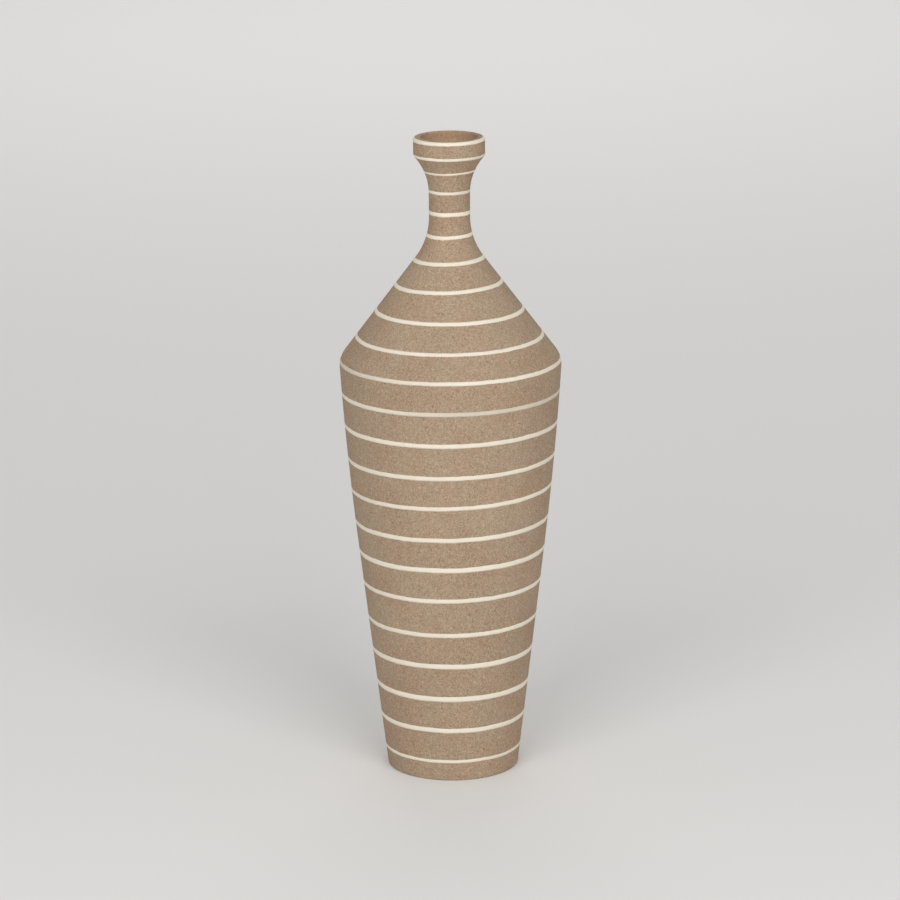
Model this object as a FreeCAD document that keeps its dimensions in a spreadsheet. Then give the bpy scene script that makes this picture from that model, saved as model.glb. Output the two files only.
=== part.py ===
import FreeCAD, Part
import math
import os
from collections import namedtuple

import Sketcher
from FreeCAD import Placement, Rotation, Vector

# A tall bottle vase of sandy brown stoneware. One fired wall stands on a low foot ring: a side that
# widens upwards and swells a little, a soft shoulder edge, a steep straight shoulder, a slim neck and
# a cup-shaped collar. Twenty-three lines of cream slip were brushed round it on the wheel, each a low
# ridge that lies on the wall, and each a little out of level.
# The origin is the centre of the foot on the table, and +Z runs up the axis.

# Driving sizes in millimetres. Radii are measured from the axis. The corners of the outline are
# stacked down from the lip, so a part that changes leaves the ones above it as they are.
SIZES = (
    ("total_height", 290.0, "table to the top of the lip"),
    ("collar_depth", 8.4, "lip down to the lower edge of the collar"),
    ("flare_depth", 17.1, "collar down to where the neck starts to flare"),
    ("neck_length", 20.8, "flare down to the corner of neck and shoulder, before it is filled"),
    ("shoulder_rise", 54.2, "that corner down to the corner of shoulder and side, before it is rounded"),
    ("foot_radius", 29.6, "outside of the foot"),
    ("shoulder_radius", 49.95, "corner of shoulder and side"),
    ("taper_radius_share", 0.619, "way from foot radius to shoulder radius where the side starts to swell"),
    ("taper_height_share", 0.554, "the same place, as a share of the shoulder's height"),
    ("shoulder_round", 10.0, "soft edge of the shoulder"),
    ("neck_radius", 9.15, "outside of the neck"),
    ("neck_foot_round", 30.0, "hollow sweep from the shoulder to the neck"),
    ("collar_radius", 15.92, "outside of the collar"),
    ("lip_width", 3.1, "wall of the collar"),
    ("lip_bevel", 0.6, "eased inner and outer edge of the lip"),
    ("wall", 3.1, "fired wall at the foot, shoulder and neck, square to its surface"),
    ("throat_rise", 3.7, "start of the flare up to where the bore opens too"),
    ("cup_depth", 4.0, "lip down to where the inside of the collar turns upright"),
    ("floor_thickness", 5.0, "table to inner floor"),
    ("foot_ring_width", 4.5, "ring that the vase stands on"),
    ("foot_recess", 1.5, "depth of the hollow inside the ring"),
    ("foot_bevel", 0.8, "worn outer edge of the foot"),
    ("line_width", 2.0, "usual slip line, across the line"),
    ("line_crest", 0.2, "middle of a slip line off the wall"),
)

# The slip lines from the lip down. Each has its place as a share of its zone's height, its width as a
# share of the usual one, and its tilt in degrees, which lifts the +X side.
COLLAR_LINE_SHARES = ((0.810, 0.80, 0.7), (0.105, 0.65, 0.5))
NECK_LINE_SHARES = ((0.822, 0.50, 1.4), (0.588, 0.65, 0.5), (0.337, 0.90, 0.2), (0.067, 0.82, 1.9))
SHOULDER_LINE_SHARES = ((0.848, 0.78, 2.0), (0.643, 0.75, 1.9), (0.422, 0.75, 0.9), (0.207, 0.70, 0.7))
SIDE_LINE_SHARES = (
    (1.000, 0.92, 0.35),
    (0.926, 0.90, 0.60),
    (0.849, 0.97, 0.70),
    (0.770, 0.92, 1.10),
    (0.695, 0.92, 1.40),
    (0.616, 1.00, 1.15),
    (0.541, 1.12, 0.80),
    (0.463, 0.97, 0.60),
    (0.376, 0.97, 0.45),
    (0.296, 1.12, 0.30),
    (0.212, 1.12, 0.05),
    (0.131, 1.00, 0.15),
    (0.051, 0.72, 0.35),
)

# How the sketcher numbers the points of an edge, and the table line, the axis and the edges shown
# from another sketch.
START, END, CENTRE = range(1, 4)
TABLE, AXIS, FIRST_COPY = range(-1, -4, -1)
ORIGIN = (TABLE, START)
UP = Vector(0, 1)

# A height from the table, and the formula that the sketches take it from.
Level = namedtuple("Level", ("height", "formula"))


def make_sheet(document):
    """The spreadsheet that the features take their sizes from."""
    sheet = document.addObject("Spreadsheet::Sheet", "sizes")
    for row, (name, size, meaning) in enumerate(SIZES, start=1):
        sheet.set(f"A{row}", meaning)
        sheet.set(f"B{row}", str(size))
        sheet.setAlias(f"B{row}", name)
    document.recompute()
    return sheet


def find_levels(size):
    """The heights of the vase's corners, from the lip down to the table."""

    def below(level, cell):
        return Level(level.height - size[cell], f"{level.formula} - sizes.{cell}")

    lip = Level(size["total_height"], "sizes.total_height")
    collar = below(lip, "collar_depth")
    flare = below(collar, "flare_depth")
    neck_foot = below(flare, "neck_length")
    shoulder = below(neck_foot, "shoulder_rise")
    taper_height = shoulder.height * size["taper_height_share"]
    return {
        "lip": lip,
        "cup": below(lip, "cup_depth"),
        "collar": collar,
        "throat": Level(flare.height + size["throat_rise"], f"{flare.formula} + sizes.throat_rise"),
        "flare": flare,
        "neck_foot": neck_foot,
        "shoulder": shoulder,
        "taper": Level(taper_height, f"({shoulder.formula}) * sizes.taper_height_share"),
        "table": Level(0, "0"),
    }


def bend(start, direction, end):
    """The middle of the arc that leaves start in a direction and reaches end."""
    chord = end - start
    sideways = Vector(-direction.y, direction.x)
    radius = chord.dot(chord) / (2 * chord.dot(sideways))
    centre = start + sideways * radius
    return centre + ((start + end) / 2 - centre).normalize() * abs(radius)


def rounded(before, corner, after, radius):
    """Start, middle and end of the arc that rounds the corner of two straight lines."""
    back = (before - corner).normalize()
    ahead = (after - corner).normalize()
    half = back.getAngle(ahead) / 2
    reach = radius / math.tan(half)
    centre = corner + (back + ahead).normalize() * (radius / math.sin(half))
    middle = centre + (corner - centre).normalize() * radius
    return corner + back * reach, middle, corner + ahead * reach


def body_sketch(body, name):
    """A sketch on the XZ plane of a body."""
    sketch = body.newObject("Sketcher::SketchObject", name)
    plane = next(f for f in body.Origin.OriginFeatures if f.Role == "XZ_Plane")
    sketch.AttachmentSupport = [(plane, "")]
    sketch.MapMode = "FlatFace"
    return sketch


def free_sketch(document, name):
    """A sketch on the XZ plane that belongs to no body."""
    sketch = document.addObject("Sketcher::SketchObject", name)
    sketch.Placement = Placement(Vector(), Rotation(Vector(1, 0, 0), 90))
    return sketch


class Outline:
    """A closed half-section on the XZ plane, drawn edge by edge and held by constraints."""

    def __init__(self, sketch, size, start):
        self.size = size
        self.sketch = sketch
        self.start = start
        self.here = start
        self.tail = None
        self.copies = 0

    def edge(self, shape, first, last, end, smooth):
        """Add an edge that goes on from the last one, smoothly or at a corner."""
        index = self.sketch.addGeometry(shape)
        if self.tail:
            self.hold("Tangent" if smooth else "Coincident", *self.tail, index, first)
        self.tail = (index, last)
        self.here = end
        return index

    def line(self, end, smooth=False):
        return self.edge(Part.LineSegment(self.here, end), START, END, end, smooth)

    def arc(self, middle, end):
        """A smooth arc. The sketch keeps it counter-clockwise, so the other way it runs from its end."""
        clockwise = (middle - self.here).cross(end - middle).z < 0
        first, last = (END, START) if clockwise else (START, END)
        return self.edge(Part.Arc(self.here, middle, end), first, last, end, True)

    def close(self):
        """Come back to the start."""
        last = self.line(self.start)
        self.hold("Coincident", last, END, 0, START)
        return last

    def close_on_axis(self):
        """Come back down the axis to the start."""
        last = self.close()
        self.hold("PointOnObject", last, START, AXIS)
        self.hold("PointOnObject", 0, START, AXIS)

    def hold(self, kind, *places):
        self.sketch.addConstraint(Sketcher.Constraint(kind, *places))

    def bind(self, kind, places, size, formula):
        """A constraint whose size follows a formula of the sheet."""
        index = self.sketch.addConstraint(Sketcher.Constraint(kind, *places, size))
        self.sketch.setExpression(f"Constraints[{index}]", formula)

    def fit(self, kind, places, cell, less=None):
        """A constraint whose size is one cell of the sheet, or that cell less another."""
        size = self.size[cell] - (self.size[less] if less else 0)
        self.bind(kind, places, size, f"sizes.{cell} - sizes.{less}" if less else f"sizes.{cell}")

    def radius_at(self, edge, position, cell, less=None):
        self.fit("DistanceX", (*ORIGIN, edge, position), cell, less)

    def height_at(self, edge, position, level):
        self.bind("DistanceY", (*ORIGIN, edge, position), *level)

    def corner(self, point, first, second):
        """The point where two edges would meet if they ran on, drawn for its size alone."""
        index = self.sketch.addGeometry(Part.Point(point), True)
        self.hold("PointOnObject", index, START, first)
        self.hold("PointOnObject", index, START, second)
        return index

    def copy_of(self, other, edge):
        """Show an edge of another outline here, to measure from."""
        self.sketch.addExternal(other.sketch.Name, f"Edge{edge + 1}")
        self.copies += 1
        return FIRST_COPY + 1 - self.copies

    def square_to_arc(self, edge, arc, centre):
        """Hold a straight edge square to an arc's radius, by spokes of one length to its two ends."""
        drawn = self.sketch.Geometry[edge]
        spokes = []
        for end, position in ((drawn.StartPoint, START), (drawn.EndPoint, END)):
            spoke = self.sketch.addGeometry(Part.LineSegment(centre, end), True)
            self.hold("Coincident", spoke, START, arc, CENTRE)
            self.hold("Coincident", spoke, END, edge, position)
            spokes.append(spoke)
        self.hold("Equal", *spokes)

    def check(self):
        """An outline that its sizes don't fix would move by itself when one of them changes."""
        if self.sketch.solve() or not self.sketch.FullyConstrained:
            raise RuntimeError(f"{self.sketch.Name} isn't fully held")


def draw_outside(body, size, levels):
    """Half of the vase's outside, filled to the axis, and its wall edges from the foot to the collar."""
    widening = size["shoulder_radius"] - size["foot_radius"]
    taper_radius = size["foot_radius"] + widening * size["taper_radius_share"]
    foot = Vector(size["foot_radius"], 0)
    taper = Vector(taper_radius, levels["taper"].height)
    shoulder = Vector(size["shoulder_radius"], levels["shoulder"].height)
    neck_foot = Vector(size["neck_radius"], levels["neck_foot"].height)
    flare = Vector(size["neck_radius"], levels["flare"].height)
    collar = Vector(size["collar_radius"], levels["collar"].height)
    lip = Vector(size["collar_radius"], levels["lip"].height)
    shoulder_arc = rounded(taper, shoulder, neck_foot, size["shoulder_round"])
    neck_arc = rounded(shoulder, neck_foot, flare, size["neck_foot_round"])

    outline = Outline(body_sketch(body, "outside_outline"), size, Vector())
    base = outline.line(foot)
    side = outline.line(taper)
    swell = outline.arc(bend(taper, (taper - foot).normalize(), shoulder_arc[0]), shoulder_arc[0])
    shoulder_edge = outline.arc(*shoulder_arc[1:])
    slope = outline.line(neck_arc[0], smooth=True)
    neck_sweep = outline.arc(*neck_arc[1:])
    neck = outline.line(flare, smooth=True)
    flare_sweep = outline.arc(bend(flare, UP, collar), collar)
    collar_side = outline.line(lip)
    top = outline.line(Vector(0, lip.y))
    outline.close_on_axis()

    outline.hold("PointOnObject", base, START, TABLE)
    outline.hold("Horizontal", base)
    outline.radius_at(base, END, "foot_radius")
    widening_formula = "(sizes.shoulder_radius - sizes.foot_radius) * sizes.taper_radius_share"
    outline.bind("DistanceX", (*ORIGIN, side, END), taper_radius, f"sizes.foot_radius + {widening_formula}")
    outline.height_at(side, END, levels["taper"])
    shoulder_corner = outline.corner(shoulder, swell, slope)
    outline.radius_at(shoulder_corner, START, "shoulder_radius")
    outline.height_at(shoulder_corner, START, levels["shoulder"])
    outline.fit("Radius", (shoulder_edge,), "shoulder_round")
    neck_corner = outline.corner(neck_foot, slope, neck)
    outline.height_at(neck_corner, START, levels["neck_foot"])
    outline.fit("Radius", (neck_sweep,), "neck_foot_round")
    outline.hold("Vertical", neck)
    outline.radius_at(neck, END, "neck_radius")
    outline.height_at(neck, END, levels["flare"])
    outline.hold("Vertical", collar_side)
    outline.radius_at(collar_side, START, "collar_radius")
    outline.height_at(collar_side, START, levels["collar"])
    outline.hold("Horizontal", top)
    outline.height_at(top, START, levels["lip"])
    outline.check()
    return outline, (side, swell, shoulder_edge, slope, neck_sweep, neck, flare_sweep, collar_side)


def shifted(start, end, gap):
    """Two points of the line that runs beside another, a gap to its left."""
    along = (end - start).normalize()
    sideways = Vector(-along.y, along.x) * gap
    return start + sideways, end + sideways


def crossing(first, second):
    """Where two lines meet, each given by two points."""
    start, along = first[0], first[1] - first[0]
    other, across = second[0], second[1] - second[0]
    return start + along * ((other - start).cross(across).z / along.cross(across).z)


def draw_inside(body, size, levels, outside, edges):
    """Half of the hollow. It lies one wall inside the shoulder, the neck and both ends of the side, and
    its straight side leaves the wall thickest where the outside swells."""
    side, swell, _, slope, _, neck = edges[:6]
    drawn = outside.sketch.Geometry
    taper = shifted(drawn[side].StartPoint, drawn[swell].EndPoint, size["wall"])
    roof = shifted(drawn[slope].StartPoint, drawn[slope].EndPoint, size["wall"])
    bore = shifted(drawn[neck].StartPoint, drawn[neck].EndPoint, size["wall"])
    floor = Vector(0, size["floor_thickness"])
    mouth_radius = size["collar_radius"] - size["lip_width"]

    outline = Outline(body_sketch(body, "inside_outline"), size, floor)
    bottom = outline.line(crossing(taper, (floor, floor + Vector(mouth_radius, 0))))
    inner_side = outline.line(crossing(taper, roof))
    ceiling = outline.line(crossing(roof, bore))
    throat = outline.line(Vector(bore[0].x, levels["throat"].height))
    outline.line(Vector(mouth_radius, levels["cup"].height))
    mouth = outline.line(Vector(mouth_radius, levels["lip"].height))
    top = outline.line(Vector(0, levels["lip"].height))
    outline.close_on_axis()

    outline.hold("Horizontal", bottom)
    outline.fit("DistanceY", (*ORIGIN, bottom, START), "floor_thickness")
    for edge, position in ((side, START), (swell, END)):
        shown = outline.copy_of(outside, edge)
        outline.fit("Distance", (shown, position, inner_side), "wall")
    for edge, inner in ((slope, ceiling), (neck, throat)):
        shown = outline.copy_of(outside, edge)
        outline.hold("Parallel", shown, inner)
        outline.fit("Distance", (shown, START, inner), "wall")
    outline.height_at(throat, END, levels["throat"])
    outline.hold("Vertical", mouth)
    outline.height_at(mouth, START, levels["cup"])
    outline.radius_at(mouth, END, "collar_radius", less="lip_width")
    outline.hold("Horizontal", top)
    outline.height_at(top, START, levels["lip"])
    outline.check()
    return outline


def draw_recess(body, size):
    """Half of the shallow hollow under the foot, with a side that slopes as steeply as it is deep."""
    radius = size["foot_radius"] - size["foot_ring_width"]
    depth = size["foot_recess"]
    outline = Outline(body_sketch(body, "recess_outline"), size, Vector())
    base = outline.line(Vector(radius, 0))
    side = outline.line(Vector(radius - depth, depth))
    top = outline.line(Vector(0, depth))
    outline.close_on_axis()
    outline.hold("PointOnObject", base, START, TABLE)
    outline.hold("Horizontal", base)
    outline.hold("Horizontal", top)
    outline.radius_at(base, END, "foot_radius", less="foot_ring_width")
    outline.fit("DistanceY", (*ORIGIN, side, END), "foot_recess")
    outline.fit("DistanceX", (side, END, side, START), "foot_recess")
    outline.check()
    return outline


def turn(body, kind, name, outline):
    """Turn an outline all the way round the axis, as a solid or as a cut."""
    feature = body.newObject(kind, name)
    feature.Profile = outline.sketch
    feature.ReferenceAxis = (outline.sketch, ["V_Axis"])
    feature.Angle = 360
    outline.sketch.Visibility = False
    return feature


def circle_name(feature, radius, height):
    """The name of the round edge of a feature at a radius and a height."""
    here = Vector(radius, 0, height)
    for number, edge in enumerate(feature.Shape.Edges, start=1):
        if isinstance(edge.Curve, Part.Circle):
            rim = edge.Curve.Center + Vector(edge.Curve.Radius, 0, 0)
            if rim.isEqual(here, Part.Precision.approximation()):
                return f"Edge{number}"
    raise RuntimeError(f"{feature.Name} has no round edge at {here}")


def bevel(body, name, base, circles, cell):
    """Bevel round edges of the last feature, each given by its radius and height."""
    feature = body.newObject("PartDesign::Chamfer", name)
    feature.Base = (base, [circle_name(base, *circle) for circle in circles])
    feature.setExpression("Size", f"sizes.{cell}")
    return feature


def make_vase(document, size, levels):
    """The fired wall: the outside turned solid, hollowed out, recessed underneath and eased at its edges."""
    body = document.addObject("PartDesign::Body", "vase_body")
    outside, edges = draw_outside(body, size, levels)
    turn(body, "PartDesign::Revolution", "outside", outside)
    document.recompute()
    turn(body, "PartDesign::Groove", "inside", draw_inside(body, size, levels, outside, edges))
    recess = turn(body, "PartDesign::Groove", "foot_recess", draw_recess(body, size))
    document.recompute()
    foot = bevel(body, "foot_edge", recess, [(size["foot_radius"], 0)], "foot_bevel")
    document.recompute()
    top = levels["lip"].height
    rims = [(size["collar_radius"], top), (size["collar_radius"] - size["lip_width"], top)]
    bevel(body, "lip_edges", foot, rims, "lip_bevel")
    document.recompute()
    return body, outside, edges


def wall_at(outside, edges, height):
    """The outer wall at a height: the edge of the outline, the point on it and the direction out of it."""
    for index in edges:
        edge = outside.sketch.Geometry[index]
        low, high = sorted((edge.StartPoint, edge.EndPoint), key=lambda point: point.y)
        if not low.y <= height <= high.y:
            continue
        if isinstance(edge, Part.LineSegment):
            along = (high - low).normalize()
            point = low + along * ((height - low.y) / along.y)
            return index, point, Vector(along.y, -along.x)
        rise = height - edge.Center.y
        reach = math.sqrt(edge.Radius**2 - rise**2)
        side = 1 if low.x > edge.Center.x else -1
        from_centre = Vector(reach * side, rise)
        return index, edge.Center + from_centre, from_centre.normalize() * side
    raise RuntimeError(f"no wall at height {height}")


def make_line(document, size, outside, edges, name, zone, shares):
    """One slip line: a low three-cornered section seated square on the wall, turned round the axis.

    It is tilted about the point where the line square to the wall meets the axis. A ball round that
    point touches the wall all along the line, so the tilted line still lies on the wall."""
    low, high = zone
    place_share, width_share, tilt = shares
    rest_share = 1 - place_share
    height = place_share * high.height + rest_share * low.height
    formula = f"{place_share} * ({high.formula}) + {rest_share} * ({low.formula})"
    edge, point, outward = wall_at(outside, edges, height)
    width = size["line_width"] * width_share
    half = Vector(-outward.y, outward.x) * (width / 2)
    crest = point + outward * size["line_crest"]

    section = Outline(free_sketch(document, f"{name}_section"), size, point - half)
    seat = section.line(point + half)
    ridge = section.line(crest)
    section.close()
    stand = section.sketch.addGeometry(Part.LineSegment(point, crest), True)
    section.hold("Symmetric", seat, START, seat, END, stand, START)
    section.hold("Coincident", stand, END, ridge, END)
    section.hold("Perpendicular", stand, seat)
    wall = section.copy_of(outside, edge)
    section.hold("PointOnObject", stand, START, wall)
    drawn = outside.sketch.Geometry[edge]
    if isinstance(drawn, Part.LineSegment):
        section.hold("Perpendicular", stand, wall)
    else:
        section.square_to_arc(seat, wall, drawn.Center)
    section.bind("DistanceY", (*ORIGIN, stand, START), height, formula)
    section.bind("Distance", (seat, START, seat, END), width, f"{width_share} * sizes.line_width")
    section.fit("Distance", (stand, START, stand, END), "line_crest")
    section.check()

    line = document.addObject("Part::Revolution", name)
    line.Source = section.sketch
    line.Axis = Vector(0, 0, 1)
    line.Angle = 360
    line.Solid = True
    pivot = Vector(0, 0, point.y - point.x * outward.y / outward.x)
    lean = Rotation(Vector(0, 1, 0), -tilt)
    line.Placement = Placement(pivot - lean.multVec(pivot), lean)
    return line


def make_slip_lines(document, size, levels, outside, edges):
    """The cream lines, zone by zone from the lip down."""
    zones = (
        ("collar", "lip", COLLAR_LINE_SHARES),
        ("neck_foot", "collar", NECK_LINE_SHARES),
        ("shoulder", "neck_foot", SHOULDER_LINE_SHARES),
        ("table", "shoulder", SIDE_LINE_SHARES),
    )
    rings = []
    for low, high, table in zones:
        for shares in table:
            name = f"slip_line_{len(rings) + 1:02}"
            zone = levels[low], levels[high]
            rings.append(make_line(document, size, outside, edges, name, zone, shares))
    lines = document.addObject("Part::Compound", "slip_lines")
    lines.Links = rings
    return lines, len(rings)


def check(document, nodes):
    """Stop if a feature failed, or if a piece isn't the sound solids that it should be."""
    failed = [o.Label for o in document.Objects if {"Invalid", "Error"} & set(o.State)]
    if failed:
        raise RuntimeError(f"failed features: {failed}")
    for node, solids in nodes.items():
        if node.Shape.isNull() or not node.Shape.isValid() or len(node.Shape.Solids) != solids:
            raise RuntimeError(f"{node.Label} isn't {solids} sound solids")


def main():
    document = FreeCAD.newDocument("bottle_vase")
    sheet = make_sheet(document)
    size = {name: sheet.get(name) for name, _, _ in SIZES}
    levels = find_levels(size)
    vase, outside, edges = make_vase(document, size, levels)
    lines, line_count = make_slip_lines(document, size, levels, outside, edges)
    document.recompute()
    nodes = {vase: 1, lines: line_count}
    check(document, nodes)
    os.makedirs("parts", exist_ok=True)
    for node in nodes:
        node.Shape.exportStep(f"parts/{node.Label}.step")
        print(f"{node.Label}: {len(node.Shape.Solids)} solids, {node.Shape.Volume:.0f} mm3")


main()
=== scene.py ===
import math

import bpy
from bpy.props import FloatProperty, FloatVectorProperty, IntProperty, PointerProperty
from bpy.types import Operator, Panel, PropertyGroup
from mathutils import Matrix, Vector


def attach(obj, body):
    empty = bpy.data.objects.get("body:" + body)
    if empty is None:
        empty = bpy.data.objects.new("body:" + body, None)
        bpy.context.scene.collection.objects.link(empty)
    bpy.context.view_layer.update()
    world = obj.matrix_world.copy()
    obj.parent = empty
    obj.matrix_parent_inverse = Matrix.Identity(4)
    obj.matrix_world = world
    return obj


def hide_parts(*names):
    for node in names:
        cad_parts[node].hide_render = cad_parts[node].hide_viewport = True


bl_info = {
    "name": "Bottle vase",
    "version": (1, 0, 0),
    "blender": (4, 5, 0),
    "location": "3D View > Sidebar > Vase",
    "description": "A thrown stoneware bottle vase with brushed lines of cream slip",
    "category": "Add Mesh",
}

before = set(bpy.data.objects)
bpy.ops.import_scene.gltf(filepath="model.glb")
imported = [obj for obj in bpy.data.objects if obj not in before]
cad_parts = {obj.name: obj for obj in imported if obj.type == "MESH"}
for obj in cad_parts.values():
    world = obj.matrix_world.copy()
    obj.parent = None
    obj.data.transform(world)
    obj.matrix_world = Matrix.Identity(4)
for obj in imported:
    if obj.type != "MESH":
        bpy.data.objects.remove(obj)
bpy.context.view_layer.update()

MM = 0.001

# Steps between the points of the outline, finest at worn edges.
FOOT_RING_STEP = 0.15 * MM
EDGE_STEP = 0.2 * MM
SOFT_EDGE_STEP = 0.4 * MM
ROUND_STEP = 0.8 * MM
COLLAR_STEP = 1 * MM
SWEEP_STEP = 1.2 * MM
NECK_STEP = 2 * MM
BROAD_STEP = 3 * MM
SIDE_STEP = 4 * MM
INNER_STEP = 6 * MM
FOOT_RING_ROUND = 0.4 * MM
WELD_DISTANCE = 0.001 * MM

# A face looks inward or up past these shares of its normal. The outer clay goes on over the lip.
LOOKS_INWARD = -0.2
LOOKS_UP = 0.9
LIP_BAND = 1 * MM

# A slip line's rows from its lower to its upper edge, as shares of its width, with how freely each
# strays and how far it stands up, and how much thinner the slip is at an edge.
ROWS = (-0.5, -0.25, 0, 0.25, 0.5)
ROW_STRAY = (1, 0.3, 0, 0.3, 1)
ROW_CREST = (0.35, 0.85, 1, 0.85, 0.35)
EDGE_THINNING = 0.2
WANDER_SIZE = 2.5 * MM
SWELL_SIZE = 12 * MM

# Sizes of the patterns in clay, slip and paper.
CLOUD_SIZE = 40 * MM
BLUSH_SIZE = 16 * MM
PATCH_SIZE = 5 * MM
BARE_SIZE = 1.4 * MM
FIBRE_SIZE = 1.5 * MM

# Values of a noise from which a spot begins to show and shows in full.
PALE_SAND_RANGE = (0.60, 0.74)
DARK_SAND_RANGE = (0.62, 0.74)
BLUSH_RANGE = (0.40, 0.62)
BARE_RANGE = (0.66, 0.78)

CLAY_ROUGHNESS = 0.86
SLIP_ROUGHNESS = 0.7
PAPER_ROUGHNESS = 0.9
MATTE_SPECULAR = 0.18
PAPER_DEPTH = 0.01 * MM

# Steps in metres and faces round of the paper bowl.
FLOOR_STEP = 0.5
BRIM_STEP = 0.1
FLOOR_SEGMENTS = 96

# Soft lights: name, place and aim in metres, width, and the power's name in Studio.
LAMPS = (
    ("left_light", (-0.8, -1.8, 1.3), (0, 0, 0.15), 1.3, "left_power"),
    ("right_light", (0.8, -1.8, 1.3), (0, 0, 0.15), 1.3, "right_power"),
    ("back_light", (0, 2.3, 1.6), (0, 2.3, 0), 1.8, "back_power"),
)

# The slip lines from the lip down: height of the middle and width across the line in millimetres,
# tilt in degrees that lifts the +X side, and how well the slip covers the clay at -X, in the middle
# and at +X.
SLIP_LINES = (
    (289.15, 2.00, 0.70, 0.90, 1.05, 0.98),
    (281.95, 1.38, 0.50, 1.00, 1.00, 0.66),
    (274.80, 1.10, 1.40, 1.05, 1.05, 1.00),
    (265.80, 1.40, 0.50, 1.00, 0.92, 0.74),
    (256.20, 1.85, 0.20, 1.05, 1.05, 1.05),
    (246.15, 1.70, 1.90, 1.00, 1.00, 1.00),
    (235.35, 1.95, 2.00, 0.98, 0.98, 0.98),
    (224.32, 1.90, 1.90, 1.00, 1.00, 1.00),
    (212.20, 1.90, 0.50, 1.05, 1.05, 1.05),
    (200.50, 1.80, 0.48, 0.98, 0.96, 1.00),
    (189.15, 1.85, 0.35, 0.55, 0.95, 1.00),
    (175.20, 2.00, 0.60, 1.05, 0.50, 0.50),
    (160.75, 2.10, 0.70, 1.03, 0.96, 0.93),
    (145.72, 2.05, 1.15, 0.96, 0.95, 0.97),
    (131.60, 1.95, 1.55, 0.93, 0.97, 1.03),
    (116.60, 2.15, 1.20, 0.98, 0.97, 0.98),
    (102.36, 2.40, 0.90, 1.05, 1.05, 1.05),
    (87.60, 2.08, 0.80, 0.94, 0.98, 1.06),
    (71.00, 2.12, 0.50, 0.94, 0.96, 1.02),
    (55.86, 2.45, 0.28, 1.00, 0.98, 1.04),
    (40.00, 2.52, 0.06, 1.05, 1.03, 1.03),
    (24.60, 2.25, 0.15, 1.00, 1.05, 1.02),
    (9.45, 1.60, 0.35, 1.04, 1.02, 0.94),
)


def length(name, description, millimetres):
    return FloatProperty(
        name=name, description=description, default=millimetres * MM, min=0, precision=5,
        unit="LENGTH",
    )


def share(name, description, default):
    return FloatProperty(
        name=name, description=description, default=default, min=0, max=1, subtype="FACTOR"
    )


def colour(name, description, default):
    return FloatVectorProperty(
        name=name, description=description, default=default, size=4, min=0, max=1, subtype="COLOR"
    )


def number(name, description, default):
    return FloatProperty(name=name, description=description, default=default)


def angle(name, description, default):
    return FloatProperty(name=name, description=description, default=default, subtype="ANGLE")


class VaseShape(PropertyGroup):
    """Sizes of the thrown wall. Radii are from the axis, heights from the table."""

    height: length("Height", "Top of the lip", 290.0)
    foot_radius: length("Foot radius", "Outside of the foot", 29.63)
    taper_radius: length("Taper radius", "Side where it stops being straight", 42.21)
    taper_height: length("Taper height", "End of the straight part of the side", 105.2)
    shoulder_radius: length("Shoulder radius", "Corner of side and shoulder, unrounded", 49.95)
    shoulder_height: length("Shoulder height", "Height of that corner", 189.5)
    shoulder_round: length("Shoulder round", "Soft edge at that corner", 10.2)
    neck_radius: length("Neck radius", "Outside of the neck", 9.15)
    neck_foot_height: length("Neck foot height", "Corner of shoulder and neck, unfilled", 243.7)
    neck_foot_round: length("Neck foot round", "Hollow sweep at that corner", 30.3)
    flare_height: length("Flare height", "Where the neck starts to flare", 264.5)
    flare_end_radius: length("Flare end radius", "Start of the soft edge under the collar", 15.36)
    flare_end_height: length("Flare end height", "Height of that place", 280.96)
    collar_radius: length("Collar radius", "Outside of the collar", 15.92)
    collar_height: length("Collar height", "Start of the collar's upright side", 282.5)
    lip_width: length("Lip width", "Wall of the collar", 3.1)
    lip_slope: length("Lip slope", "How far the lip falls from its inner to its outer edge", 0.2)
    lip_round: length("Lip round", "Outer edge of the lip", 1.4)
    lip_inner_round: length("Inner lip round", "Inner edge of the lip", 0.5)
    wall: length("Wall", "Thickness of the fired wall", 3.1)
    throat_height: length("Throat height", "Where the bore of the neck starts to open", 268.2)
    cup_height: length("Cup height", "Where the inside of the collar turns upright", 286.0)
    floor: length("Floor", "Table to inner floor", 5.0)
    inner_round: length("Inner round", "Soft corners inside the vase", 7.0)
    foot_ring: length("Foot ring", "Width of the ring that the vase stands on", 4.5)
    foot_recess: length("Foot recess", "Depth of the hollow inside the ring", 1.5)
    foot_edge: length("Foot edge", "Worn outer edge of the foot", 0.8)
    segments: IntProperty(name="Segments", description="Faces round the vase", default=288, min=32)


class SlipBrush(PropertyGroup):
    """How the cream lines lie on the wall."""

    crest: length("Crest", "Thickness of the slip in the middle of a line", 0.1)
    wander: length("Edge wander", "How far the edges of a line stray", 0.3)
    swell: length("Swell", "How much a line grows and thins on its way round", 0.5)
    lift: length("Lift", "Gap that keeps the slip's underside out of the clay", 0.01)
    segments: IntProperty(name="Segments", description="Faces round a line", default=320, min=32)


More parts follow.
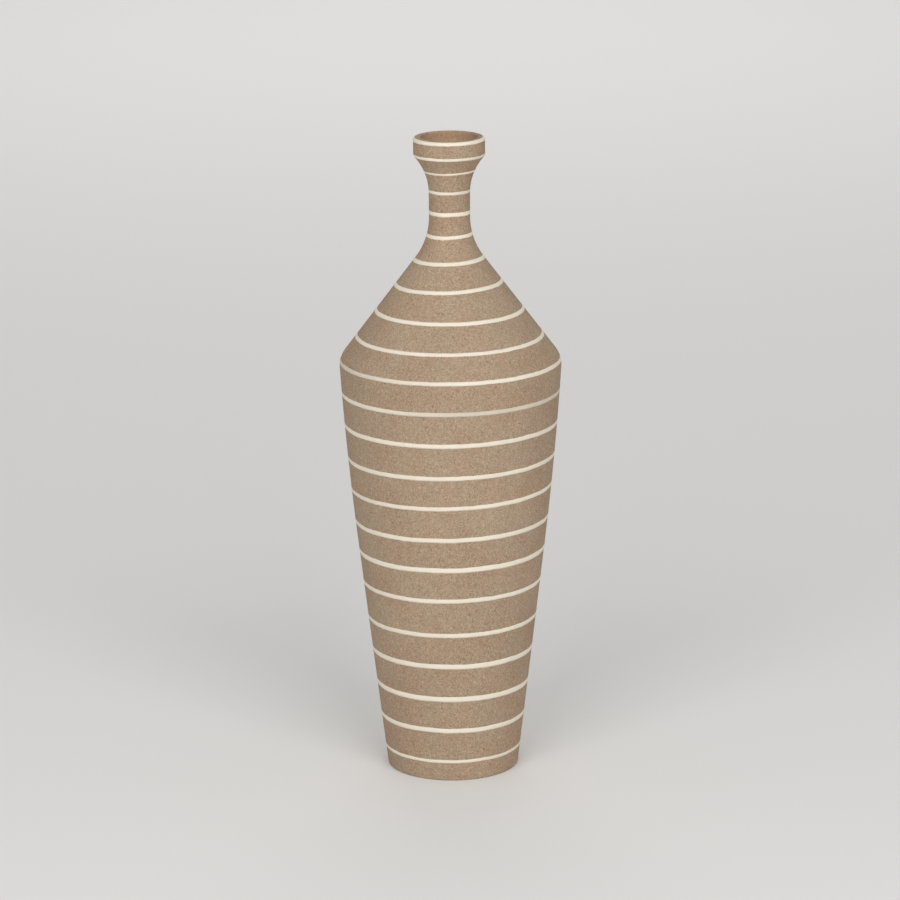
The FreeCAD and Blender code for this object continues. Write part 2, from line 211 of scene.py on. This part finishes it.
class Glaze(PropertyGroup):
    """Colours of clay and slip."""

    clay_dark: colour("Dark clay", "Hollows of the sandy clay", (0.247, 0.172, 0.113, 1))
    clay_light: colour("Light clay", "Crests of the sandy clay", (0.524, 0.404, 0.281, 1))
    clay_blush: colour("Blush", "Tint where the kiln reddened the clay", (1.000, 0.940, 0.930, 1))
    clay_inside: colour("Inner clay", "Clay inside the mouth", (0.438, 0.262, 0.160, 1))
    sand_pale: colour("Pale sand", "Pale grains", (0.640, 0.530, 0.400, 1))
    sand_dark: colour("Dark sand", "Iron-dark grains", (0.140, 0.080, 0.050, 1))
    slip_cream: colour("Cream slip", "Thick slip", (0.838, 0.766, 0.638, 1))
    slip_thin: colour("Thin slip", "Slip that lets the clay through", (0.490, 0.415, 0.320, 1))
    grain: length("Grain", "Size of a grain of sand", 0.58)
    depth: length("Grain depth", "How far the grains stand out", 0.06)


class Studio(PropertyGroup):
    """Floor, light and camera."""

    paper: colour("Paper", "Floor and backdrop", (0.84, 0.83, 0.815, 1))
    floor_radius: length("Floor radius", "Level part of the paper bowl", 4000)
    bowl_round: length("Bowl round", "How softly the paper rises at its edge", 1000)
    daylight: share("Daylight", "Light from all round", 0.40)
    left_power: number("Left light", "Soft light left of the camera", 18.2)
    right_power: number("Right light", "Soft light right of the camera", 19.5)
    back_power: number("Back light", "Soft light over the floor behind", 15.6)
    camera_side: FloatProperty(
        name="Camera offset", description="Sideways from the vase", default=-0.5 * MM, precision=5,
        unit="LENGTH",
    )
    camera_back: length("Camera distance", "From the axis of the vase, level", 1812)
    camera_height: length("Camera height", "Above the table", 618.8)
    camera_pitch: angle("Camera pitch", "How far it looks down", math.radians(14.6))
    camera_roll: angle("Camera roll", "Lean of the camera", -0.0068)
    lens: number("Lens", "Focal length in millimetres", 166.4)
    sensor: number("Sensor", "Width of the sensor in millimetres", 36)


# --- the outline of the wall ----------------------------------------------------------------------


def point(radius, height):
    return Vector((radius, height))


def straight(start, end, step):
    """Points from start to end, start left out, about a step apart."""
    pieces = max(1, round((end - start).length / step))
    return [start.lerp(end, i / pieces) for i in range(1, pieces + 1)]


def bend(start, direction, end, step):
    """Points of the arc that leaves start in a direction and reaches end, start left out."""
    chord = end - start
    sideways = point(-direction.y, direction.x).normalized()
    radius = chord.length_squared / (2 * chord.dot(sideways))
    centre = start + sideways * radius
    first = math.atan2(start.y - centre.y, start.x - centre.x)
    last = math.atan2(end.y - centre.y, end.x - centre.x)
    sweep = (last - first + math.pi) % math.tau - math.pi
    pieces = max(2, round(abs(radius * sweep) / step))
    angles = [first + sweep * i / pieces for i in range(1, pieces + 1)]
    return [centre + point(math.cos(a), math.sin(a)) * abs(radius) for a in angles]


def tangent_points(before, corner, after, radius):
    """Where an arc of that radius leaves and meets the two lines of a corner."""
    back = (before - corner).normalized()
    ahead = (after - corner).normalized()
    reach = radius / math.tan(back.angle(ahead) / 2)
    return corner + back * reach, corner + ahead * reach


def outer_outline(shape):
    """The outside from the foot's worn edge to the top of the lip."""
    foot = point(shape.foot_radius, 0)
    taper = point(shape.taper_radius, shape.taper_height)
    shoulder = point(shape.shoulder_radius, shape.shoulder_height)
    neck_foot = point(shape.neck_radius, shape.neck_foot_height)
    flare = point(shape.neck_radius, shape.flare_height)
    flare_end = point(shape.flare_end_radius, shape.flare_end_height)
    collar = point(shape.collar_radius, shape.collar_height)
    lip = point(shape.collar_radius, shape.height - shape.lip_slope)
    mouth = point(shape.collar_radius - shape.lip_width, shape.height)
    table = point(0, 0)
    foot_start, foot_end = tangent_points(table, foot, taper, shape.foot_edge)
    swell_end, slope_start = tangent_points(taper, shoulder, neck_foot, shape.shoulder_round)
    slope_end, neck_start = tangent_points(shoulder, neck_foot, flare, shape.neck_foot_round)
    lip_start, lip_end = tangent_points(collar, lip, mouth, shape.lip_round)
    rise = (taper - foot).normalized()

    outline = [foot_start]
    outline += bend(foot_start, foot - table, foot_end, EDGE_STEP)
    outline += straight(foot_end, taper, SIDE_STEP)
    outline += bend(taper, rise, swell_end, BROAD_STEP)
    slope = (neck_foot - slope_start).normalized()
    outline += bend(slope_start, -slope, swell_end, ROUND_STEP)[-2::-1] + [slope_start]
    outline += straight(slope_start, slope_end, BROAD_STEP)
    outline += bend(slope_end, slope, neck_start, SWEEP_STEP)
    outline += straight(neck_start, flare, NECK_STEP)
    outline += bend(flare, point(0, 1), flare_end, SWEEP_STEP)
    outline += bend(collar, point(0, -1), flare_end, SOFT_EDGE_STEP)[-2::-1] + [collar]
    outline += straight(collar, lip_start, COLLAR_STEP)
    outline += bend(lip_start, point(0, 1), lip_end, EDGE_STEP)
    return outline


def soften(corners, radius, step):
    """The corners of a chain rounded, its two ends kept."""
    chain = [corners[0]]
    for before, corner, after in zip(corners, corners[1:], corners[2:]):
        reach = min(radius, (corner - before).length / 3, (after - corner).length / 3)
        half = (before - corner).angle(after - corner) / 2
        start, end = tangent_points(before, corner, after, reach * math.tan(half))
        chain += straight(chain[-1], start, INNER_STEP)
        chain += bend(start, corner - before, end, step)
    return chain + straight(chain[-1], corners[-1], INNER_STEP)


def inner_outline(shape, lip_end):
    """The inside from the top of the lip down to the middle of the floor."""
    mouth = shape.collar_radius - shape.lip_width
    bore = shape.neck_radius - shape.wall
    shoulder = point(shape.shoulder_radius, shape.shoulder_height)
    slope = (point(shape.neck_radius, shape.neck_foot_height) - shoulder).normalized()
    inward = point(-slope.y, slope.x) * shape.wall
    roof = shoulder + inward
    ceiling = roof + slope * ((bore - roof.x) / slope.x)
    side = point(shape.foot_radius - shape.wall, 0)
    top = point(mouth, shape.height)
    start, end = tangent_points(lip_end, top, point(mouth, 0), shape.lip_inner_round)
    outline = straight(lip_end, start, SOFT_EDGE_STEP)
    outline += bend(start, top - lip_end, end, EDGE_STEP)
    wall = [
        end,
        point(mouth, shape.cup_height),
        point(bore, shape.throat_height),
        ceiling,
        roof - slope * shape.wall,
        side + point(0, shape.floor),
        point(0, shape.floor),
    ]
    return outline + soften(wall, shape.inner_round, ROUND_STEP)[1:]


def under_outline(shape, foot_start):
    """The underside from its middle to the foot's worn edge, foot_start left out."""
    ring = point(shape.foot_radius - shape.foot_ring, 0)
    recess = ring + point(-shape.foot_recess, shape.foot_recess)
    corners = [point(0, shape.foot_recess), recess, ring, foot_start]
    return soften(corners, FOOT_RING_ROUND, FOOT_RING_STEP)[:-1]


# --- modelling ------------------------------------------------------------------------------------


def spin_profile(name, chain, segments):
    """Draw a chain of the XZ half-plane by extruding a corner, and spin it round the axis."""
    bpy.ops.object.select_all(action="DESELECT")
    bpy.ops.mesh.primitive_plane_add(size=MM, location=(0, 0, 0))
    piece = bpy.context.object
    piece.name = piece.data.name = name
    bpy.ops.object.mode_set(mode="EDIT")
    bpy.ops.mesh.select_all(action="SELECT")
    bpy.ops.mesh.merge(type="CENTER")
    bpy.ops.transform.translate(value=(chain[0].x, 0, chain[0].y))
    for start, end in zip(chain, chain[1:]):
        move = {"value": (end.x - start.x, 0, end.y - start.y)}
        bpy.ops.mesh.extrude_region_move(TRANSFORM_OT_translate=move)
    bpy.ops.mesh.select_all(action="SELECT")
    bpy.ops.mesh.spin(steps=segments, angle=math.tau, center=(0, 0, 0), axis=(0, 0, 1))
    bpy.ops.mesh.select_all(action="SELECT")
    bpy.ops.mesh.remove_doubles(threshold=WELD_DISTANCE)
    bpy.ops.mesh.normals_make_consistent(inside=False)
    bpy.ops.object.mode_set(mode="OBJECT")
    faces = piece.data.polygons
    outward = sum((f.center.x * f.normal.x + f.center.y * f.normal.y) * f.area for f in faces)
    if outward < 0:
        bpy.ops.object.mode_set(mode="EDIT")
        bpy.ops.mesh.select_all(action="SELECT")
        bpy.ops.mesh.flip_normals()
        bpy.ops.object.mode_set(mode="OBJECT")
    bpy.ops.object.shade_smooth()
    return piece


def finish_with(piece, kind, **settings):
    """Add a modifier and apply it."""
    bpy.context.view_layer.objects.active = piece
    bpy.ops.object.modifier_add(type=kind)
    modifier = piece.modifiers[-1]
    for name, value in settings.items():
        setattr(modifier, name, value)
    bpy.ops.object.modifier_apply(modifier=modifier.name)


def clouds(name, size):
    """A soft noise that moves points."""
    texture = bpy.data.textures.new(name, "CLOUDS")
    texture.noise_scale = size
    texture.noise_depth = 2
    return texture


def stretch_of(outline, height, width):
    """A line's rows on an outline, round a height, with its width measured along the outline."""
    places = [0.0]
    for start, end in zip(outline, outline[1:]):
        places.append(places[-1] + (end - start).length)
    spans = list(zip(outline, outline[1:], places))
    start, end, place = next(s for s in spans if s[0].y <= height <= s[1].y and s[1].y > s[0].y)
    middle = place + (end - start).length * (height - start.y) / (end.y - start.y)

    def at(distance):
        distance = min(distance, places[-1])
        low, high, place = next(s for s in reversed(spans) if s[2] <= distance)
        return low + (high - low).normalized() * (distance - place)

    return [at(middle + width * i) for i in ROWS]


# --- materials ------------------------------------------------------------------------------------


class Signal:
    """A node's output that Python arithmetic goes on from."""

    def __init__(self, board, socket):
        self.board = board
        self.socket = socket

    def combine(self, operation, first, second):
        return self.board.add("ShaderNodeMath", {"operation": operation}, {0: first, 1: second})

    def __add__(self, other):
        return self.combine("ADD", self, other)

    def __sub__(self, other):
        return self.combine("SUBTRACT", self, other)

    def __rsub__(self, other):
        return self.combine("SUBTRACT", other, self)

    def __mul__(self, other):
        return self.combine("MULTIPLY", self, other)

    __radd__ = __add__
    __rmul__ = __mul__


class Board:
    """The nodes of one material."""

    def __init__(self, name):
        self.material = bpy.data.materials.new(name)
        self.material.use_nodes = True
        self.tree = self.material.node_tree
        self.tree.nodes.clear()

    def add(self, kind, settings=(), inputs=(), output=0):
        """Add a node by its type, its settings and the values or links of its sockets."""
        node = self.tree.nodes.new(kind)
        for name, value in dict(settings).items():
            setattr(node, name, value)
        for key, value in dict(inputs).items():
            if isinstance(value, Signal):
                self.tree.links.new(value.socket, node.inputs[key])
            else:
                node.inputs[key].default_value = value
        return Signal(self, node.outputs[output]) if node.outputs else None

    def place(self):
        return self.add("ShaderNodeTexCoord", output="Object")

    def noise(self, where, size, detail=2, roughness=0.5):
        """Noise whose patches are about a size across."""
        inputs = {"Vector": where, "Scale": 1 / size, "Detail": detail, "Roughness": roughness}
        return self.add("ShaderNodeTexNoise", inputs=inputs)

    def ease(self, value, low, high):
        """0 below low, 1 above high, smooth between them."""
        inputs = {"Value": value, "From Min": low, "From Max": high}
        return self.add("ShaderNodeMapRange", {"interpolation_type": "SMOOTHSTEP"}, inputs)

    def mix(self, first, second, factor, blend="MIX"):
        """Two colours, mixed."""
        settings = {"data_type": "RGBA", "clamp_factor": True, "blend_type": blend}
        return self.add("ShaderNodeMix", settings, {0: factor, 6: first, 7: second}, 2)

    def surface(self, base, roughness, relief, depth):
        """A matte surface with a relief, for the whole material."""
        heights = {"Strength": 1, "Distance": depth, "Height": relief}
        inputs = {
            "Base Color": base,
            "Roughness": roughness,
            "Specular IOR Level": MATTE_SPECULAR,
            "Normal": self.add("ShaderNodeBump", {}, heights),
        }
        shader = self.add("ShaderNodeBsdfPrincipled", {}, inputs)
        self.add("ShaderNodeOutputMaterial", {}, {"Surface": shader})
        return self.material


def clay_material(name, glaze, inside):
    """Sandy clay: soft clouds of tone, fine grain, and single pale and dark grains."""
    board = Board(name)
    here = board.place()
    fine = board.noise(here, glaze.grain, 2, 0.6)
    coarse = board.noise(here, glaze.grain * 2.4, 2)
    cloud = board.noise(here, CLOUD_SIZE, 3)
    pale = board.ease(board.noise(here, glaze.grain * 1.1, 1), *PALE_SAND_RANGE)
    dark = board.ease(board.noise(here, glaze.grain * 1.3, 1, 0.3), *DARK_SAND_RANGE)
    blush = board.ease(board.noise(here, BLUSH_SIZE, 2), *BLUSH_RANGE)
    tone = 0.5 + (fine - 0.5) * 1.8 + (coarse - 0.5) * 0.6 + (cloud - 0.5) * 0.4
    clay = board.mix(tuple(glaze.clay_dark), tuple(glaze.clay_light), tone)
    clay = board.mix(clay, tuple(glaze.clay_blush), blush, "MULTIPLY")
    if inside:
        clay = board.mix(clay, tuple(glaze.clay_inside), 0.6)
    clay = board.mix(clay, tuple(glaze.sand_pale), pale * 0.45)
    clay = board.mix(clay, tuple(glaze.sand_dark), dark * 0.4)
    relief = fine * 0.6 + coarse * 0.4 + pale * 0.3
    return board.surface(clay, CLAY_ROUGHNESS + (fine - 0.5) * 0.2, relief, glaze.depth)


def slip_material(name, glaze):
    """Cream slip: streaks along the brush's way, and clay that shows through where it is thin."""
    board = Board(name)
    here = board.place()
    cover = board.add("ShaderNodeAttribute", {"attribute_name": "cover"}, output="Fac")
    patch = board.noise(here, PATCH_SIZE, 3, 0.6)
    fine = board.noise(here, glaze.grain, 2, 0.6)
    bare = board.ease(board.noise(here, BARE_SIZE, 2), *BARE_RANGE)
    thick = cover + (patch - 0.5) * 0.35 + (fine - 0.5) * 0.22 - bare * 0.12
    slip = board.mix(tuple(glaze.slip_thin), tuple(glaze.slip_cream), thick)
    roughness = SLIP_ROUGHNESS + (fine - 0.5) * 0.2
    return board.surface(slip, roughness, fine * 0.5 + patch * 0.5, glaze.depth * 0.7)


def paper_material(name, studio):
    """Plain pale paper."""
    board = Board(name)
    here = board.place()
    fibre = board.noise(here, FIBRE_SIZE, 2)
    tint = tuple(studio.paper)
    shade = tuple(c * 0.985 for c in tint[:3]) + (1,)
    roughness = PAPER_ROUGHNESS + (fibre - 0.5) * 0.05
    return board.surface(board.mix(shade, tint, fibre), roughness, fibre, PAPER_DEPTH)


# --- operators ------------------------------------------------------------------------------------


class VASE_OT_turn_body(Operator):
    """Turn the clay wall, outside and inside, and give it its sandy finish"""

    bl_idname = "vase.turn_body"
    bl_label = "Turn the body"

    def execute(self, context):
        shape, glaze = context.scene.vase_shape, context.scene.vase_glaze
        outer = outer_outline(shape)
        chain = under_outline(shape, outer[0]) + outer + inner_outline(shape, outer[-1])
        body = spin_profile("stoneware_body", chain, shape.segments)
        body.data.materials.append(clay_material("sandy_clay", glaze, inside=False))
        body.data.materials.append(clay_material("inner_clay", glaze, inside=True))
        for face in body.data.polygons:
            out = Vector((face.center.x, face.center.y, 0)).normalized()
            height = face.center.z
            inside = shape.floor < height < shape.height - LIP_BAND
            inward = inside and face.normal.dot(out) < LOOKS_INWARD
            on_floor = height < shape.floor * 2 and face.normal.z > LOOKS_UP
            face.material_index = int(inward or on_floor)
        volume = sum(face.center.dot(face.normal) * face.area for face in body.data.polygons) / 3
        if volume <= 0:
            raise RuntimeError(f"the body came out flat or inside out: {volume}")
        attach(body, "root")
        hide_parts("vase_body")
        return {"FINISHED"}


class VASE_OT_brush_slip_lines(Operator):
    """Brush the cream lines round the turned body"""

    bl_idname = "vase.brush_slip_lines"
    bl_label = "Brush the slip lines"

    def execute(self, context):
        shape, brush = context.scene.vase_shape, context.scene.vase_brush
        body = bpy.data.objects["stoneware_body"]
        outline = outer_outline(shape)
        wander = clouds("edge_wander", WANDER_SIZE)
        swell = clouds("line_swell", SWELL_SIZE)
        lines = []
        for number, (height, width, tilt, *covers) in enumerate(SLIP_LINES, start=1):
            chain = stretch_of(outline, height * MM, width * MM)
            line = spin_profile(f"slip_line_{number:02}", chain, brush.segments)
            self.mark_rows(line, chain, covers)
            self.tilt(line, chain, math.radians(tilt))
            for texture, strength in ((wander, brush.wander), (swell, brush.swell)):
                finish_with(
                    line, "DISPLACE", texture=texture, texture_coords="GLOBAL", direction="Z",
                    strength=strength, mid_level=0.5, vertex_group="edge",
                )
            finish_with(
                line, "SHRINKWRAP", target=body, wrap_method="NEAREST_SURFACEPOINT",
                wrap_mode="ABOVE_SURFACE", offset=brush.lift,
            )
            finish_with(line, "SOLIDIFY", thickness=brush.crest, offset=1, vertex_group="crest")
            lines.append(line)
        bpy.ops.object.select_all(action="DESELECT")
        for line in lines:
            line.select_set(True)
        bpy.context.view_layer.objects.active = lines[0]
        bpy.ops.object.join()
        slip = bpy.context.object
        slip.name = slip.data.name = "cream_slip_lines"
        slip.data.materials.append(slip_material("cream_slip", context.scene.vase_glaze))
        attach(slip, "root")
        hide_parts("slip_lines")
        return {"FINISHED"}

    def mark_rows(self, line, chain, covers):
        """Weights that let the edges stray and the middle stand up, and the cover of the slip."""
        edge = line.vertex_groups.new(name="edge")
        crest = line.vertex_groups.new(name="crest")
        left, middle, right = covers
        thickness = []
        for vertex in line.data.vertices:
            here = point(math.hypot(vertex.co.x, vertex.co.y), vertex.co.z)
            row = min(range(len(chain)), key=lambda i: (chain[i] - here).length)
            edge.add([vertex.index], ROW_STRAY[row], "REPLACE")
            crest.add([vertex.index], ROW_CREST[row], "REPLACE")
            side = vertex.co.x / here.x
            change = (right - middle) * side if side > 0 else (middle - left) * side
            thickness.append(middle + change - EDGE_THINNING * ROW_STRAY[row])
        line.data.attributes.new("cover", "FLOAT", "POINT").data.foreach_set("value", thickness)

    def tilt(self, line, chain, angle):
        """Tilt a line about the point where the line square to its wall meets the axis."""
        along = chain[-1] - chain[0]
        middle = chain[2]
        pivot = Matrix.Translation((0, 0, middle.y + middle.x * along.x / along.y))
        line.matrix_world = pivot @ Matrix.Rotation(-angle, 4, "Y") @ pivot.inverted()
        bpy.ops.object.transform_apply(location=True, rotation=True, scale=True)


class VASE_OT_set_stage(Operator):
    """Set the paper bowl, the lights and the camera"""

    bl_idname = "vase.set_stage"
    bl_label = "Set the stage"

    def execute(self, context):
        studio = context.scene.vase_studio
        self.lay_paper(studio)
        self.hang_lights(context.scene, studio)
        self.aim_camera(context.scene, studio)
        return {"FINISHED"}

    def lay_paper(self, studio):
        """A wide round floor of paper that curves up at its edge, with no corner from any side."""
        flat = point(studio.floor_radius, 0)
        brim = flat + point(studio.bowl_round, studio.bowl_round)
        chain = [point(0, 0), *straight(point(0, 0), flat, FLOOR_STEP)]
        chain += bend(flat, point(1, 0), brim, BRIM_STEP)
        paper = spin_profile("paper_floor", chain, FLOOR_SEGMENTS)
        paper.data.materials.append(paper_material("pale_paper", studio))

    def hang_lights(self, scene, studio):
        """Light from all round, and the soft lights."""
        scene.view_settings.view_transform = "Standard"
        scene.world = scene.world or bpy.data.worlds.new("studio")
        scene.world.use_nodes = True
        sky = scene.world.node_tree.nodes["Background"]
        sky.inputs["Color"].default_value = (1, 1, 1, 1)
        sky.inputs["Strength"].default_value = studio.daylight
        for name, place, aim, width, power in LAMPS:
            bpy.ops.object.light_add(type="AREA", location=place)
            lamp = bpy.context.object
            lamp.name = name
            lamp.data.size = width
            lamp.data.energy = getattr(studio, power)
            toward = Vector(aim) - Vector(place)
            lamp.rotation_euler = toward.to_track_quat("-Z", "Y").to_euler()
            lamp.visible_camera = False

    def aim_camera(self, scene, studio):
        """Stand the camera where the photograph was taken from."""
        place = (studio.camera_side, -studio.camera_back, studio.camera_height)
        bpy.ops.object.camera_add(location=place)
        camera = bpy.context.object
        camera.name = "photo_camera"
        level = Matrix.Rotation(math.pi / 2 - studio.camera_pitch, 3, "X")
        camera.rotation_euler = (level @ Matrix.Rotation(studio.camera_roll, 3, "Z")).to_euler()
        camera.data.sensor_width = studio.sensor
        camera.data.lens = studio.lens
        scene.camera = camera


class VASE_PT_panel(Panel):
    """The vase's steps and sizes"""

    bl_idname = "VASE_PT_panel"
    bl_label = "Bottle vase"
    bl_space_type = "VIEW_3D"
    bl_region_type = "UI"
    bl_category = "Vase"

    def draw(self, context):
        for operator in OPERATORS:
            self.layout.operator(operator.bl_idname)
        for name, group in GROUPS.items():
            box = self.layout.box()
            for item in group.__annotations__:
                box.prop(getattr(context.scene, name), item)


OPERATORS = (VASE_OT_turn_body, VASE_OT_brush_slip_lines, VASE_OT_set_stage)
GROUPS = {
    "vase_shape": VaseShape,
    "vase_brush": SlipBrush,
    "vase_glaze": Glaze,
    "vase_studio": Studio,
}


def register():
    for kind in (*GROUPS.values(), *OPERATORS, VASE_PT_panel):
        bpy.utils.register_class(kind)
    for name, group in GROUPS.items():
        setattr(bpy.types.Scene, name, PointerProperty(type=group))


def unregister():
    for name in GROUPS:
        delattr(bpy.types.Scene, name)
    for kind in (VASE_PT_panel, *reversed(OPERATORS), *reversed(GROUPS.values())):
        bpy.utils.unregister_class(kind)


def main():
    register()
    bpy.ops.vase.turn_body()
    bpy.ops.vase.brush_slip_lines()
    bpy.ops.vase.set_stage()


if __name__ == "__main__":
    main()
